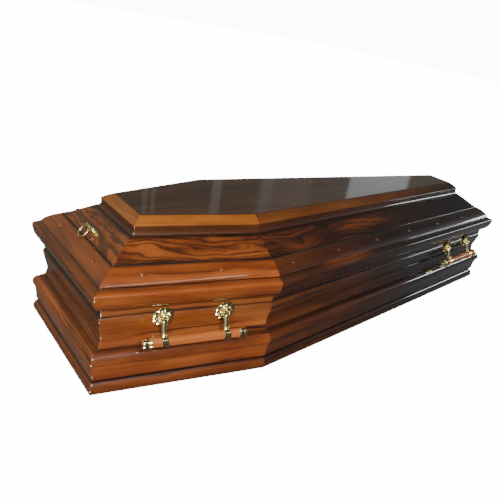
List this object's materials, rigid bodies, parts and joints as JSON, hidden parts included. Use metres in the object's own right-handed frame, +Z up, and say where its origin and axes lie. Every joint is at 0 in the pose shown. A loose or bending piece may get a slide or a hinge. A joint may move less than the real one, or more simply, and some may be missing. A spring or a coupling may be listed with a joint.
{
  "type": "coffin",
  "caption": "Six-sided lacquered wooden coffin with a raised moulded lid that lifts off, wooden swing-bar handles on brass fittings and a brass ring pull.",
  "frame": {"origin": "on the ground under the middle of the coffin", "axes": "+X towards the foot end along the length, +Y across towards the far side, +Z up"},
  "size_m": [2, 0.7094, 0.45],
  "materials": {
    "side_wood": "high-gloss clear lacquer over orange-brown wood with dark streaks",
    "moulding_wood": "high-gloss clear lacquer over orange-brown wood",
    "figured_wood": "high-gloss clear lacquer over strongly figured dark wood",
    "border_wood": "high-gloss clear lacquer over golden wood",
    "top_wood": "mirror-like clear lacquer over dark wood",
    "stud_wood": "lacquered wood",
    "floor_wood": "bare board",
    "bar_wood": "satin wood",
    "brass": "polished brass"
  },
  "bodies": {
    "coffin": {"side_walls": "side_wood", "floor_board": "floor_wood", "plinth_moulding": "moulding_wood", "base_moulding": "moulding_wood", "lid_frame": "side_wood", "lid_slope_boards": "figured_wood", "lid_border": "border_wood", "lid_top_panel": "top_wood", "stud_near_short_1": "stud_wood", "stud_near_short_2": "stud_wood", "stud_far_short_1": "stud_wood", "stud_far_short_2": "stud_wood", "stud_near_long_1": "stud_wood", "stud_near_long_2": "stud_wood", "stud_near_long_3": "stud_wood", "stud_near_long_4": "stud_wood", "stud_near_long_5": "stud_wood", "stud_near_long_6": "stud_wood", "stud_far_long_1": "stud_wood", "stud_far_long_2": "stud_wood", "stud_far_long_3": "stud_wood", "stud_far_long_4": "stud_wood", "stud_far_long_5": "stud_wood", "stud_far_long_6": "stud_wood", "stud_head_1": "stud_wood", "stud_head_2": "stud_wood", "stud_foot_1": "stud_wood", "stud_foot_2": "stud_wood", "stud_head_board": "stud_wood", "handle_near_head_rosette_a": "brass", "handle_near_head_rosette_b": "brass", "handle_near_foot_rosette_a": "brass", "handle_near_foot_rosette_b": "brass", "handle_far_foot_rosette_a": "brass", "handle_far_foot_rosette_b": "brass", "handle_far_head_rosette_a": "brass", "handle_far_head_rosette_b": "brass", "ring_pull_base": "brass"},
    "handle_near_head": {"handle_near_head_bar": "bar_wood", "handle_near_head_arm_a": "brass", "handle_near_head_arm_b": "brass", "handle_near_head_cap_a": "brass", "handle_near_head_cap_b": "brass"},
    "handle_near_foot": {"handle_near_foot_bar": "bar_wood", "handle_near_foot_arm_a": "brass", "handle_near_foot_arm_b": "brass", "handle_near_foot_cap_a": "brass", "handle_near_foot_cap_b": "brass"},
    "handle_far_foot": {"handle_far_foot_bar": "bar_wood", "handle_far_foot_arm_a": "brass", "handle_far_foot_arm_b": "brass", "handle_far_foot_cap_a": "brass", "handle_far_foot_cap_b": "brass"},
    "handle_far_head": {"handle_far_head_bar": "bar_wood", "handle_far_head_arm_a": "brass", "handle_far_head_arm_b": "brass", "handle_far_head_cap_a": "brass", "handle_far_head_cap_b": "brass"},
    "ring_pull": {"ring_pull_ring": "brass"}
  },
  "joints": [
    {"name": "near_head_swing", "type": "hinge", "parent": "coffin", "child": "handle_near_head", "pos_m": [-0.71839, -0.28726, 0.216], "axis": [-0.9777, 0.2102, 0], "range_deg": [0, 75]},
    {"name": "near_foot_swing", "type": "hinge", "parent": "coffin", "child": "handle_near_foot", "pos_m": [0.73316, -0.23889, 0.216], "axis": [-0.9965, -0.0834, 0], "range_deg": [0, 75]},
    {"name": "far_foot_swing", "type": "hinge", "parent": "coffin", "child": "handle_far_foot", "pos_m": [0.73316, 0.23889, 0.216], "axis": [0.9965, -0.0834, 0], "range_deg": [0, 75]},
    {"name": "far_head_swing", "type": "hinge", "parent": "coffin", "child": "handle_far_head", "pos_m": [-0.71839, 0.28726, 0.216], "axis": [0.9777, 0.2102, 0], "range_deg": [0, 75]},
    {"name": "ring_swing", "type": "hinge", "parent": "coffin", "child": "ring_pull", "pos_m": [-0.912, 0.016, 0.38544], "axis": [0, 1, 0], "range_deg": [0, 140]}
  ]
}
